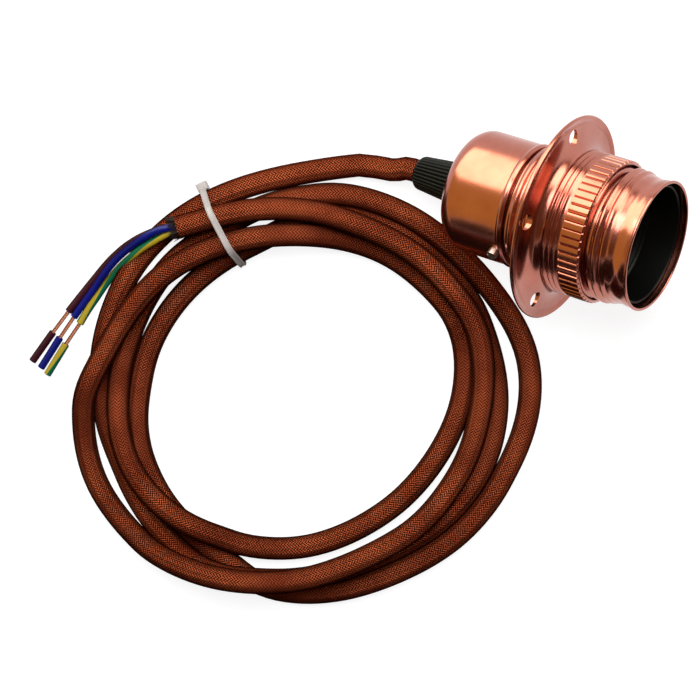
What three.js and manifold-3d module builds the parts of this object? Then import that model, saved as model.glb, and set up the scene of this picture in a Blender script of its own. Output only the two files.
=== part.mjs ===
// Pendant cord set: a copper screw lamp holder with a flanged shade ring, lying on its side,
// and its round braided three core flex, wound in a loose coil and held by one cable tie.
// Millimetres, +Z up. The holder's axis lies in the XZ plane, its mouth towards +X and raised.
// Along the holder, "at" is the distance from the flange's plane, positive towards the mouth.
import * as THREE from "three";
import { mergeVertices } from "three/addons/utils/BufferGeometryUtils.js";
import Module from "manifold-3d";

const wasm = await Module();
wasm.setup();

// clearances between neighbouring pieces
const seatGap = 0.3;
const turningGap = 0.3;

// shade ring: flange, beaded neck and knurled collar, spun from one blank
const flangeRadius = 30.3;
const flangePlate = 0.9;
const flangeRimBead = 0.75;
const flangeHoleCount = 5;
const flangeHoleRadius = 2.3;
const flangeHoleInset = 5.1;
const flangeHoleStart = 9;
const neckWall = 0.5;
const neckFillet = 3.4;
const neckLength = 8.8;
const neckBeadCount = 3;
const neckBeadHeight = 0.55;
const neckBeadPitch = 1.6;
const collarLength = 7;
const collarGroove = 0.5;
const knurlCount = 56;
const knurlDepth = 0.55;

// shell: drawn sheet with a rolled thread, a slight waist and a rolled lip
const threadCrest = 19.8;
const threadDepth = 0.75;
const threadPitch = 2.3;
const threadLength = 13.2;
const threadEndAt = 23.4;
const shellMouthAt = 30.3;
const shellLipRadius = 19.2;
const shellWaistRadius = 18.5;
const shellWall = 0.7;
const shellTailLength = 7.6;
const shellStepRise = 1.2;
const lipRoll = 0.45;

// cap: a drawn cup with a rounded shoulder, which slips over the shell's tail
const capRadius = 18.3;
const capWall = 0.9;
const capLength = 22.6;
const capMouthAt = -10.4;
const capShoulder = 6;
const capBeadHeight = 0.6;
const capBeadPitch = 2.1;
const capBeadCount = 3;
const lockScrewRadius = 1.5;
const lockScrewLength = 2.4;
const lockScrewInset = 2.7;
const lockScrewTurn = 55;
const slotWidth = 0.5;
const slotDepth = 0.6;

// cord grip and the hollow nipple that carries it
const cordRadius = 3.5;
const nippleRadius = 5;
const nippleStub = 6;
const nippleInside = 4.2;
const nutAcrossFlats = 13;
const nutThickness = 2.6;
const gripLength = 16;
const gripBaseRadius = 6.6;
const gripTipRadius = 4.95;
const gripTipRound = 1.2;
const gripCollar = 2.2;
const gripFluteCount = 20;
const gripFluteDepth = 0.4;

// insert: moulded body with the lamp's screw shell and contacts
const insertFrontAt = 18.5;
const insertFloor = 3.4;
const insertBoreRadius = 14.5;
const insertRimWall = 1.4;
const screwShellRadius = 14.1;
const screwShellWall = 0.5;
const screwShellDepth = 1.1;
const screwShellPitch = 3.62;
const screwShellLength = 18.1;
const contactWidth = 6;
const contactReach = 15;
const contactSheet = 0.8;
const contactRise = 4;
const contactFoot = 5;
const contactTongue = 4;
const contactTip = 1.1;
const contactScrewInset = 2.9;
const contactScrewRadius = 1.2;
const contactHeadRadius = 2.2;
const contactHead = 1.4;
const terminalWide = 6.4;
const terminalHigh = 7.4;
const terminalDeep = 5.4;
const terminalSpread = 8.2;
const terminalWireHole = 1.5;
const terminalScrewRadius = 1.5;
const terminalScrewHead = 2.5;
const terminalScrewHeadLength = 1.6;
const terminalPinRadius = 1.4;

// earth tag, a washer under the lock nut with an arm that is bent forward
const earthWasherRadius = 7.2;
const earthTagThickness = 0.8;
const earthArmReach = 10.2;
const earthArmWidth = 5;
const earthArmLength = 8;
const earthScrewInset = 3.4;
const earthScrewRadius = 1.3;
const earthScrewHeadRadius = 2.2;
const earthScrewHead = 1.5;
const earthScrewLength = 2.2;

// flex: cores, bare ends and the insulation slugs left on them
const coreRadius = 1.1;
const coreSpread = 1.6;
const leadStraight = 2.4;
const leadBend = 5;
const leadBow = 5.6;
const bareRadius = 0.6;
const slugLength = 11;

// cable tie round the five strands at the coil's upper left
const tieWidth = 2.4;
const tieStrap = 1.1;
const tieTurn = 133;
const tieHeadWide = 4.6;
const tieHeadHigh = 3.8;
const tieSlack = 0.8;
const tieLift = 0.02;

// coil of loose turns, two cords high; each of its two edges is a circle pushed to one side,
// squeezed to an oval and drawn out to three blunt corners, with the directions in degrees
const coilCentre = [-53, -70.2];
const coilHeight = 13.4;
const coilRound = 3;
const coilSteps = 40;
const coilOuter = {
  radius: 67.5, push: 3, pushTurn: -65, oval: 3.5, ovalTurn: 10, corner: 3, cornerTurn: -5,
};
const coilInner = {
  radius: 45, push: 1.5, pushTurn: -80, oval: 3.5, ovalTurn: 40, corner: 1, cornerTurn: 5,
};

// routes on the surface that everything lies on, as x, y, z
const leadRoute = [[-47, -1.7, 5.4], [-52, -2.3, 4.1], [-56.5, -3.2, 3.6], [-60.5, -4.3, 3.52]];
const brownRoute = [
  [-119.5, -52.4, 2.4], [-122.4, -58.5, 1.5], [-124.7, -63.7, 1.13], [-126.6, -69.4, 1.12],
];
const blueRoute = [
  [-116.9, -49.9, 5], [-119.3, -55.1, 3.9], [-121, -60, 2.4], [-122.9, -64.9, 1.5], [-124.8, -70.4, 1.12],
];
const earthRoute = [
  [-116.8, -52.8, 2.2], [-117.9, -56.2, 1.6], [-119.7, -62.1, 1.13],
  [-121.3, -67, 1.12], [-122.6, -71.9, 1.12],
];
const brownEnd = [[-127.1, -70.1, 1.12], [-129.7, -76.3, 1.12], [-133.3, -87, 1.12]];
const blueEnd = [[-125, -71.1, 1.12], [-127.1, -77.5, 1.12], [-130.3, -88.3, 1.12]];
const earthEnd = [[-122.6, -72.7, 1.12], [-124.2, -78.8, 1.12], [-127.3, -89.8, 1.12]];

// values that follow from the sizes above
const capRearAt = capMouthAt - capLength;
const capInnerRadius = capRadius - capWall;
const ringBore = threadCrest + turningGap;
const neckRadius = ringBore + neckWall;
const knurlCrest = neckRadius + knurlDepth;
const threadRoot = threadCrest - threadDepth;
const tailRadius = capInnerRadius - turningGap;
const tailEndAt = capMouthAt - shellTailLength;
const shellStepAt = capMouthAt + seatGap;
const shellInnerRadius = threadRoot - shellWall;
const insertRearAt = shellStepAt + shellStepRise + shellWall + seatGap;
const insertFloorAt = insertRearAt + insertFloor;
const insertRadius = shellInnerRadius - turningGap;
const cordBore = cordRadius + turningGap;
const earthTagAt = capRearAt + capWall + seatGap;
const gripBaseAt = capRearAt - seatGap;
const gripTipAt = gripBaseAt - gripLength;
const nippleFrontAt = capRearAt + capWall + nippleInside;
const nippleRearAt = capRearAt - nippleStub;
const terminalFrontAt = insertRearAt - seatGap;
const terminalRearAt = terminalFrontAt - terminalDeep;
const flangeHoleCircle = flangeRadius - flangeHoleInset;
const contactScrewSide = -contactReach / 2 + contactScrewInset;

const copper = { color: 0xc98463, roughness: 0.28, metalness: 1 };
const brass = { color: 0xc9a35a, roughness: 0.32, metalness: 1 };
const steel = { color: 0xb9bbbd, roughness: 0.35, metalness: 1 };
const blackPlastic = { color: 0x161616, roughness: 0.5, metalness: 0 };
const brownBraid = { color: 0x3a2419, roughness: 0.95, metalness: 0 };
const brownCore = { color: 0x5a3220, roughness: 0.45, metalness: 0 };
const blueCore = { color: 0x2f63b5, roughness: 0.45, metalness: 0 };
const earthCore = { color: 0xb7c62e, roughness: 0.45, metalness: 0 };
const tieNylon = { color: 0xe9ebea, roughness: 0.4, metalness: 0 };

// one closed body: shared corners joined, flat triangles dropped, faces pointing out
function closed(geometry) {
  const bare = geometry.clone();
  bare.deleteAttribute("normal");
  bare.deleteAttribute("uv");
  const joined = mergeVertices(bare, 1e-4);
  const index = joined.index.array;
  const kept = [];
  for (let i = 0; i < index.length; i += 3) {
    const [a, b, c] = [index[i], index[i + 1], index[i + 2]];
    if (a !== b && b !== c && c !== a) kept.push(a, b, c);
  }
  const position = joined.getAttribute("position");
  const corner = (k) => new THREE.Vector3().fromBufferAttribute(position, k);
  let volume = 0;
  for (let i = 0; i < kept.length; i += 3) {
    volume += corner(kept[i]).dot(corner(kept[i + 1]).cross(corner(kept[i + 2])));
  }
  if (volume < 0) kept.reverse();
  joined.setIndex(kept);
  return joined;
}

function toSolid(geometry) {
  const body = closed(geometry);
  return new wasm.Manifold(new wasm.Mesh({
    numProp: 3,
    vertProperties: new Float32Array(body.getAttribute("position").array),
    triVerts: new Uint32Array(body.index.array),
  }));
}

function toGeometry(solid) {
  const mesh = solid.getMesh();
  const geometry = new THREE.BufferGeometry();
  geometry.setAttribute("position", new THREE.BufferAttribute(new Float32Array(mesh.vertProperties), 3));
  geometry.setIndex(new THREE.BufferAttribute(new Uint32Array(mesh.triVerts), 1));
  return geometry;
}

function joined(...geometries) {
  return toGeometry(geometries.map(toSolid).reduce((whole, piece) => whole.add(piece)));
}

function cut(geometry, ...tools) {
  return toGeometry(tools.map(toSolid).reduce((whole, tool) => whole.subtract(tool), toSolid(geometry)));
}

// points on an arc from one angle to another, in degrees
function arc(centreRadius, centreAt, radius, from, to, steps) {
  return Array.from({ length: steps + 1 }, (_, i) => {
    const angle = THREE.MathUtils.degToRad(from + ((to - from) * i) / steps);
    return [centreRadius + radius * Math.cos(angle), centreAt + radius * Math.sin(angle)];
  });
}

// a profile of [radius, at] turned about the holder's axis, which is X
function turned(profile, segments, shape = (radius) => radius) {
  const points = [...profile, profile[0]].map(([radius, at]) => new THREE.Vector2(radius, at));
  const geometry = new THREE.LatheGeometry(points, segments);
  const position = geometry.getAttribute("position");
  for (let i = 0; i < position.count; i++) {
    const [x, at, z] = [position.getX(i), position.getY(i), position.getZ(i)];
    const radius = Math.hypot(x, z);
    if (radius > 0) {
      const scale = shape(radius, at, Math.atan2(x, z)) / radius;
      position.setXYZ(i, x * scale, at, z * scale);
    }
  }
  return closed(geometry.rotateZ(-Math.PI / 2));
}

// a round bar along the holder's axis
function bar(radius, fromAt, toAt, segments) {
  return turned([[0, fromAt], [radius, fromAt], [radius, toAt], [0, toAt]], segments);
}

// a flat outline in the plane across the axis, thickened along it
function plate(shape, fromAt, toAt, curveSegments = 12) {
  const settings = { depth: toAt - fromAt, bevelEnabled: false, curveSegments };
  return closed(new THREE.ExtrudeGeometry(shape, settings).rotateY(Math.PI / 2).translate(fromAt, 0, 0));
}

function polygon(points) {
  return new THREE.Shape(points.map(([x, y]) => new THREE.Vector2(x, y)));
}

function ringShape(outline, holeRadius) {
  const shape = polygon(outline);
  shape.holes.push(new THREE.Path().absarc(0, 0, holeRadius, 0, Math.PI * 2, true));
  return shape;
}

// a round rod swept along a smooth route
function swept(route, radius, sides, steps) {
  const stops = route.map(([x, y, z]) => new THREE.Vector3(x, y, z));
  const path = new THREE.CatmullRomCurve3(stops, false, "centripetal");
  const section = polygon(Array.from({ length: sides }, (_, i) => {
    const angle = (Math.PI * (2 * i + 1)) / sides;
    return [radius * Math.cos(angle), radius * Math.sin(angle)];
  }));
  return closed(new THREE.ExtrudeGeometry(section, { steps, bevelEnabled: false, extrudePath: path }));
}

// a ridge that climbs one pitch for each turn, fading out at both ends of the threaded length
function threadWave(at, angle, pitch, from, to) {
  const phase = at / pitch - angle / (2 * Math.PI);
  const fade = Math.min(1, Math.max(0, (at - from) / pitch), Math.max(0, (to - at) / pitch));
  return fade * (0.5 + 0.5 * Math.cos(2 * Math.PI * phase));
}

function evenly(from, to, count) {
  return Array.from({ length: count + 1 }, (_, i) => from + ((to - from) * i) / count);
}

function makeShadeRing() {
  const frontAt = flangePlate / 2;
  const neckEndAt = neckLength + flangePlate / 2;
  const collarEndAt = neckEndAt + collarLength;
  const beadsFrom = neckEndAt - collarGroove - neckBeadCount * neckBeadPitch;
  const outline = [
    [ringBore, -frontAt],
    [flangeRadius - 2 * flangeRimBead, -frontAt],
    ...arc(flangeRadius - flangeRimBead, 0, flangeRimBead, -120, 120, 4),
    [flangeRadius - 2 * flangeRimBead, frontAt],
    ...arc(neckRadius + neckFillet, frontAt + neckFillet, neckFillet, 270, 180, 4),
  ];
  for (let bead = 0; bead < neckBeadCount; bead++) {
    const start = beadsFrom + bead * neckBeadPitch;
    outline.push([neckRadius, start + 0.15 * neckBeadPitch]);
    outline.push([neckRadius + neckBeadHeight, start + 0.5 * neckBeadPitch]);
    outline.push([neckRadius, start + 0.85 * neckBeadPitch]);
  }
  outline.push([neckRadius, collarEndAt], [ringBore, collarEndAt]);
  const toothOutline = [];
  for (let tooth = 0; tooth < knurlCount; tooth++) {
    const corners = [[0.06, neckRadius], [0.16, knurlCrest], [0.64, knurlCrest], [0.74, neckRadius]];
    for (const [share, radius] of corners) {
      const angle = (2 * Math.PI * (tooth + share)) / knurlCount;
      toothOutline.push([radius * Math.cos(angle), radius * Math.sin(angle)]);
    }
  }
  const knurl = plate(ringShape(toothOutline, ringBore + neckWall / 2), neckEndAt, collarEndAt);
  const holes = Array.from({ length: flangeHoleCount }, (_, k) => {
    const angle = THREE.MathUtils.degToRad(flangeHoleStart + (360 / flangeHoleCount) * k);
    const hole = bar(flangeHoleRadius, -2 * flangePlate, 2 * flangePlate, 14);
    return hole.translate(0, -flangeHoleCircle * Math.cos(angle), flangeHoleCircle * Math.sin(angle));
  });
  return cut(joined(turned(outline, 40), knurl), ...holes);
}

function makeShell() {
  const threadFrom = threadEndAt - threadLength;
  const threadRows = evenly(threadFrom, threadEndAt, Math.round((4 * threadLength) / threadPitch));
  const waistAt = (threadEndAt + shellMouthAt) / 2;
  const outline = [
    [tailRadius - shellWall, tailEndAt],
    [tailRadius, tailEndAt],
    [tailRadius, shellStepAt],
    [threadRoot, shellStepAt + shellStepRise],
    ...threadRows.map((at) => [threadRoot, at]),
    [threadRoot - 0.15, threadEndAt + 0.8],
    [shellWaistRadius, waistAt],
    [shellLipRadius - lipRoll, shellMouthAt - 3 * lipRoll],
    ...arc(shellLipRadius - lipRoll, shellMouthAt - lipRoll, lipRoll, 0, 90, 3),
    [shellLipRadius - lipRoll - shellWall / 2, shellMouthAt - lipRoll],
    [shellWaistRadius - shellWall, waistAt],
    [shellInnerRadius, threadEndAt],
    [shellInnerRadius, shellStepAt + shellStepRise + shellWall],
    [tailRadius - shellWall, shellStepAt + shellWall],
  ];
  const middle = (threadRoot + shellInnerRadius) / 2;
  return turned(outline, 32, (radius, at, angle) => {
    const outside = radius > middle && at >= threadFrom && at <= threadEndAt;
    const wave = threadWave(at, angle, threadPitch, threadFrom, threadEndAt);
    return radius + (outside ? threadDepth * wave : 0);
  });
}

function makeCap() {
  const hole = nippleRadius + turningGap;
  const innerShoulder = capShoulder - capWall;
  const beads = [];
  for (let bead = capBeadCount; bead > 0; bead--) {
    const start = capMouthAt - bead * capBeadPitch;
    beads.push([capRadius, start], [capRadius + capBeadHeight, start + capBeadPitch / 2]);
  }
  const outline = [
    [hole, capRearAt],
    ...arc(capRadius - capShoulder, capRearAt + capShoulder, capShoulder, 270, 360, 6),
    ...beads,
    [capRadius, capMouthAt],
    [capInnerRadius, capMouthAt],
    ...arc(capRadius - capShoulder, capRearAt + capShoulder, innerShoulder, 360, 270, 5),
    [hole, capRearAt + capWall],
  ];
  const lockHole = onCapWall(bar(lockScrewRadius + turningGap / 2, -2 * capWall, 2 * capWall, 12), 0);
  return cut(turned(outline, 32), lockHole);
}

// turns a piece that points along X to point out through the cap's wall at the lock screw
function onCapWall(geometry, lift) {
  const turn = THREE.MathUtils.degToRad(lockScrewTurn);
  return geometry
    .rotateY(-Math.PI / 2)
    .translate(0, 0, capRadius - capWall / 2 + lift)
    .rotateX(turn)
    .translate(capMouthAt - lockScrewInset, 0, 0);
}

function makeLockScrew() {
  const body = bar(lockScrewRadius, -lockScrewLength / 2, lockScrewLength / 2, 14);
  const slot = closed(new THREE.BoxGeometry(2 * slotDepth, slotWidth, 4 * lockScrewRadius));
  return onCapWall(cut(body, slot.translate(lockScrewLength / 2, 0, 0)), lockScrewLength / 2);
}

function makeNipple() {
  return turned([
    [cordBore, nippleRearAt], [nippleRadius, nippleRearAt],
    [nippleRadius, nippleFrontAt], [cordBore, nippleFrontAt],
  ], 28);
}

function makeLockNut() {
  const sides = 6;
  const corner = nutAcrossFlats / 2 / Math.cos(Math.PI / sides);
  const outline = Array.from({ length: sides }, (_, i) => {
    const angle = (2 * Math.PI * i) / sides;
    return [corner * Math.cos(angle), corner * Math.sin(angle)];
  });
  const from = earthTagAt + earthTagThickness + seatGap;
  return plate(ringShape(outline, nippleRadius + turningGap), from, from + nutThickness);
}

// tapered grip with flutes along it, from a plain collar to its rounded tip
function makeCordGrip() {
  const fluteFrom = gripBaseAt - gripCollar;
  const radiusAt = (at) => {
    const share = (at - gripBaseAt) / (gripTipAt - gripBaseAt);
    return gripBaseRadius + (gripTipRadius - gripBaseRadius) * share;
  };
  const rows = evenly(fluteFrom, gripTipAt + gripTipRound, 2);
  const tip = radiusAt(gripTipAt + gripTipRound) - gripTipRound;
  const seatAt = nippleRearAt - seatGap;
  const outline = [
    [nippleRadius + turningGap, gripBaseAt],
    [gripBaseRadius, gripBaseAt],
    [radiusAt(fluteFrom + gripTipRound / 2), fluteFrom + gripTipRound / 2],
    ...rows.map((at) => [radiusAt(at), at]),
    ...arc(tip, gripTipAt + gripTipRound, gripTipRound, -30, -90, 2),
    [cordBore, gripTipAt],
    [cordBore, seatAt],
    [nippleRadius + turningGap, seatAt],
  ];
  return turned(outline, 2 * gripFluteCount, (radius, at, angle) => {
    const fluted = at <= fluteFrom && at >= gripTipAt + gripTipRound && radius > radiusAt(at) - seatGap;
    const wave = 0.5 - 0.5 * Math.cos(gripFluteCount * angle);
    return radius - (fluted ? gripFluteDepth * wave : 0);
  });
}

function makeInsert() {
  const body = turned([
    [0, insertRearAt], [insertRadius, insertRearAt], [insertRadius, insertFrontAt],
    [insertRadius - insertRimWall, insertFrontAt], [insertBoreRadius, insertFrontAt - 1.2],
    [insertBoreRadius, insertFloorAt], [0, insertFloorAt],
  ], 36);
  const hole = (radius, side) => bar(radius, insertRearAt - 1, insertFloorAt + 1, 12).translate(0, side, 0);
  const pinHole = terminalPinRadius + turningGap;
  const screwHole = hole(contactScrewRadius + turningGap, contactScrewSide);
  return cut(body, hole(pinHole, -terminalSpread), hole(pinHole, terminalSpread), screwHole);
}

function makeScrewShell() {
  const from = insertFloorAt + seatGap;
  const to = from + screwShellLength;
  const rows = evenly(from, to, Math.round((3 * screwShellLength) / screwShellPitch));
  const wave = (radius, at, angle) => {
    return radius - screwShellDepth * threadWave(at, angle, screwShellPitch, from, to);
  };
  const inside = screwShellRadius - screwShellWall;
  const outer = rows.map((at) => [screwShellRadius, at]);
  const inner = rows.map((at) => [inside, at]).reverse();
  return turned([...outer, ...inner], 20, wave);
}

// bent strip: a foot on the floor of the insert and a tongue that rises to meet the lamp
function makeCentreContact() {
  const foot = insertFloorAt + seatGap;
  const half = contactReach / 2;
  const line = [
    [-half, 0], [-half + contactFoot, 0], [half - contactTongue, contactRise],
    [half - contactTip, contactRise], [half, contactRise - contactTip],
  ];
  const top = line.map(([across, rise]) => [foot + rise + contactSheet, across]);
  const under = line.map(([across, rise]) => [foot + rise, across]).reverse();
  const settings = { depth: contactWidth, bevelEnabled: false };
  const strip = new THREE.ExtrudeGeometry(polygon([...top, ...under]), settings);
  strip.translate(0, 0, -contactWidth / 2);
  const hole = bar(contactScrewRadius + turningGap, foot - 2, foot + 2 * contactSheet + 2, 12);
  return cut(closed(strip), hole.translate(0, contactScrewSide, 0));
}

// turned screw with a slotted head at its front and its shank towards the rear
function slottedScrew(shankRadius, headRadius, headLength, shankLength) {
  const body = turned([
    [0, -shankLength], [shankRadius, -shankLength], [shankRadius, 0],
    [headRadius, 0], [headRadius, 0.7 * headLength], [0.85 * headRadius, headLength], [0, headLength],
  ], 16);
  const slot = closed(new THREE.BoxGeometry(2 * slotDepth, 4 * headRadius, slotWidth));
  return cut(body, slot.translate(headLength, 0, 0));
}

// brass block with a crosswise wire hole, a screw hole and a pin that is riveted through the floor
function makeTerminal() {
  const block = closed(new THREE.BoxGeometry(terminalDeep, terminalWide, terminalHigh));
  const middle = (terminalFrontAt + terminalRearAt) / 2;
  const pinEnd = insertFloorAt - seatGap;
  const pin = bar(terminalPinRadius, terminalFrontAt - 1, pinEnd, 12);
  const body = joined(block.translate(middle, 0, 0), pin);
  const wireHole = bar(terminalWireHole, terminalRearAt - 1, terminalRearAt + 3.6, 12);
  const screwHole = bar(terminalScrewRadius + turningGap, 0, terminalHigh, 12).rotateY(-Math.PI / 2);
  return cut(body, wireHole, screwHole.translate(middle, 0, 0));
}

function makeEarthTag() {
  const face = earthTagAt;
  const thick = earthTagThickness;
  const bore = bar(nippleRadius + turningGap, face - thick, face + 2 * thick, 20);
  const washer = cut(bar(earthWasherRadius, face, face + thick, 28), bore);
  const riser = earthArmReach - 0.9 * earthWasherRadius;
  const post = new THREE.BoxGeometry(thick, earthArmWidth, riser);
  const up = post.translate(face + thick / 2, 0, earthArmReach - riser / 2);
  const forward = new THREE.BoxGeometry(earthArmLength, earthArmWidth, thick);
  const arm = forward.translate(face + earthArmLength / 2, 0, earthArmReach - thick / 2);
  const hole = bar(earthScrewRadius + turningGap, 0, 2 * earthArmReach, 12).rotateY(-Math.PI / 2);
  return cut(joined(washer, up, arm), hole.translate(face + earthScrewInset, 0, 0));
}

// turns a piece made about the origin, with the coil's radius along X, to stand at the tie
function atTie(geometry) {
  return geometry
    .rotateZ(THREE.MathUtils.degToRad(tieTurn))
    .translate(coilCentre[0], coilCentre[1], 0);
}

// from the coil's centre to one of its edges, in a direction in degrees
function coilReach(edge, direction) {
  const wave = (count, turn) => Math.cos(THREE.MathUtils.degToRad(count * (direction - turn)));
  const pushed = edge.push * wave(1, edge.pushTurn);
  const squeezed = edge.oval * wave(2, edge.ovalTurn);
  return edge.radius + pushed + squeezed + edge.corner * wave(3, edge.cornerTurn);
}

// coil of turns as one body with rounded edges, grooved underneath for the tie's strap
function makeCoil() {
  const loop = (edge) => evenly(0, 360, coilSteps).slice(0, -1).map((direction) => {
    const angle = THREE.MathUtils.degToRad(direction);
    const reach = coilReach(edge, direction);
    return new THREE.Vector2(reach * Math.cos(angle), reach * Math.sin(angle));
  });
  const shape = new THREE.Shape(loop(coilOuter));
  shape.holes.push(new THREE.Path(loop(coilInner).reverse()));
  const settings = {
    depth: coilHeight - 2 * coilRound,
    bevelThickness: coilRound,
    bevelSize: coilRound,
    bevelOffset: -coilRound,
    bevelSegments: 2,
  };
  const body = closed(new THREE.ExtrudeGeometry(shape, settings).translate(0, 0, coilRound));
  const [inner, outer] = [coilReach(coilInner, tieTurn), coilReach(coilOuter, tieTurn)];
  const under = 2 * (tieStrap + tieLift + seatGap);
  const groove = closed(new THREE.BoxGeometry(2 * (outer - inner), tieWidth + 2 * seatGap, under));
  groove.translate((inner + outer) / 2, 0, 0);
  return cut(body.translate(coilCentre[0], coilCentre[1], 0), atTie(groove));
}

// strap loop round the coil's section with the locking head at its outer edge
function makeCableTie() {
  const inner = coilReach(coilInner, tieTurn) - tieSlack;
  const outer = coilReach(coilOuter, tieTurn) + tieSlack;
  const high = coilHeight + seatGap;
  const rounded = (left, bottom, right, top, round) => [
    ...arc(right - round, bottom + round, round, 270, 360, 3),
    ...arc(right - round, top - round, round, 0, 90, 3),
    ...arc(left + round, top - round, round, 90, 180, 3),
    ...arc(left + round, bottom + round, round, 180, 270, 3),
  ];
  const strap = rounded(inner - tieStrap, tieLift, outer + tieStrap, high + tieStrap, coilRound);
  const hole = rounded(inner, tieStrap + tieLift, outer, high, coilRound - tieStrap);
  const shape = polygon(strap);
  shape.holes.push(new THREE.Path(hole.reverse().map(([x, y]) => new THREE.Vector2(x, y))));
  const settings = { depth: tieWidth, bevelEnabled: false };
  const loop = closed(new THREE.ExtrudeGeometry(shape, settings).translate(0, 0, -tieWidth / 2));
  const head = closed(new THREE.BoxGeometry(tieHeadHigh, tieHeadHigh, tieHeadWide));
  const body = joined(loop, head.translate(outer + (tieHeadHigh + tieStrap) / 2, high / 2, 0));
  return atTie(body.rotateX(Math.PI / 2));
}

function addPiece(parent, name, geometry, look) {
  const mesh = new THREE.Mesh(geometry, new THREE.MeshStandardMaterial(look));
  mesh.name = name;
  parent.add(mesh);
  return mesh;
}

// the holder rests on the rim of its flange and on the cap's shoulder
function restingTilt() {
  const rise = flangeRadius - (capRadius - capShoulder);
  const run = -(capRearAt + capShoulder);
  return Math.acos(capShoulder / Math.hypot(rise, run)) - Math.atan2(run, rise);
}

function placeHolder() {
  const holder = new THREE.Group();
  addPiece(holder, "shade_ring", makeShadeRing(), copper);
  addPiece(holder, "shell", makeShell(), copper);
  addPiece(holder, "cap", makeCap(), copper);
  addPiece(holder, "cap_lock_screw", makeLockScrew(), steel);
  addPiece(holder, "grip_nipple", makeNipple(), steel);
  addPiece(holder, "grip_lock_nut", makeLockNut(), steel);
  addPiece(holder, "cord_grip", makeCordGrip(), blackPlastic);
  addPiece(holder, "insert_body", makeInsert(), blackPlastic);
  addPiece(holder, "lamp_screw_shell", makeScrewShell(), brass);
  addPiece(holder, "centre_contact", makeCentreContact(), brass);
  const contactShank = contactSheet + insertFloor;
  const contactScrew = slottedScrew(contactScrewRadius, contactHeadRadius, contactHead, contactShank);
  const contactSeat = insertFloorAt + contactSheet + 2 * seatGap;
  addPiece(holder, "contact_screw", contactScrew, steel).position.set(contactSeat, contactScrewSide, 0);
  for (const [side, name] of [[-terminalSpread, "live"], [terminalSpread, "neutral"]]) {
    addPiece(holder, `terminal_${name}`, makeTerminal(), brass).position.set(0, side, 0);
    const shank = terminalHigh / 2 - 2 * seatGap;
    const screw = slottedScrew(terminalScrewRadius, terminalScrewHead, terminalScrewHeadLength, shank);
    const mesh = addPiece(holder, `terminal_screw_${name}`, screw, steel);
    mesh.rotation.y = -Math.PI / 2;
    mesh.position.set((terminalFrontAt + terminalRearAt) / 2, side, terminalHigh / 2 + seatGap);
  }
  addPiece(holder, "earth_tag", makeEarthTag(), brass);
  const earthScrew = slottedScrew(earthScrewRadius, earthScrewHeadRadius, earthScrewHead, earthScrewLength);
  const earthMesh = addPiece(holder, "earth_screw", earthScrew, steel);
  earthMesh.rotation.y = -Math.PI / 2;
  earthMesh.position.set(earthTagAt + earthScrewInset, 0, earthArmReach + seatGap);
  addInnerLeads(holder);
  return holder;
}

// three cores from the end of the sheath to their terminals
function addInnerLeads(holder) {
  const start = nippleFrontAt + seatGap;
  const end = terminalRearAt - seatGap;
  const lead = (name, look, side, up, stops) => {
    const route = [[start, side, up], [start + leadStraight, side, up], ...stops];
    addPiece(holder, name, swept(route, coreRadius, 7, 12), look);
  };
  for (const [name, look, side] of [["lead_live", brownCore, -1], ["lead_neutral", blueCore, 1]]) {
    const far = side * terminalSpread;
    const bow = [start + leadBend, side * leadBow, 0];
    lead(name, look, side * coreSpread, 0, [bow, [end - leadStraight, far, 0], [end, far, 0]]);
  }
  const tip = earthTagAt + earthArmLength - coreRadius;
  const under = earthArmReach - earthTagThickness - seatGap;
  const turnUp = (coreSpread + under) / 2;
  const rise = [[tip, 0, turnUp], [tip, 0, under - coreRadius], [tip, 0, under]];
  lead("lead_earth", earthCore, 0, coreSpread + seatGap, rise);
}

function placeFlex(gripTip, gripWay) {
  const flex = new THREE.Group();
  const along = (distance) => gripTip.clone().addScaledVector(gripWay, distance).toArray();
  const lead = [along(-3), along(0), along(4), ...leadRoute];
  addPiece(flex, "cord_lead", swept(lead, cordRadius, 10, 8), brownBraid);
  addPiece(flex, "cord_coil", makeCoil(), brownBraid);
  addPiece(flex, "cable_tie", makeCableTie(), tieNylon);
  const cores = [
    ["brown", brownCore, brownRoute, brownEnd],
    ["blue", blueCore, blueRoute, blueEnd],
    ["earth", earthCore, earthRoute, earthEnd],
  ];
  for (const [name, look, route, [bareFrom, bareTo, slugTo]] of cores) {
    addPiece(flex, `core_${name}`, swept(route, coreRadius, 8, 12), look);
    const strands = { ...copper, roughness: 0.4 };
    addPiece(flex, `bare_end_${name}`, swept([bareFrom, bareTo], bareRadius, 8, 1), strands);
    const way = new THREE.Vector3(...slugTo).sub(new THREE.Vector3(...bareTo)).normalize();
    const slugFrom = new THREE.Vector3(...bareTo).addScaledVector(way, seatGap);
    const slugEnd = slugFrom.clone().addScaledVector(way, slugLength);
    addPiece(flex, `slug_${name}`, swept([slugFrom.toArray(), slugEnd.toArray()], coreRadius, 8, 1), look);
  }
  return flex;
}

const tilt = restingTilt();
const holder = placeHolder();
holder.rotation.y = -tilt;
holder.position.z = flangeRadius * Math.cos(tilt);
holder.updateMatrixWorld(true);
const middle = new THREE.Box3().setFromObject(holder, true).getCenter(new THREE.Vector3());
holder.position.x = -middle.x;
holder.updateMatrixWorld(true);

const gripTip = holder.localToWorld(new THREE.Vector3(gripTipAt, 0, 0));
const gripWay = new THREE.Vector3(-Math.cos(tilt), 0, -Math.sin(tilt));
const pendant = new THREE.Group();
pendant.add(holder, placeFlex(gripTip, gripWay));

export default pendant;
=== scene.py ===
import math
import random

import bmesh
import bpy
import numpy as np
from mathutils import Matrix, Vector


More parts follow.
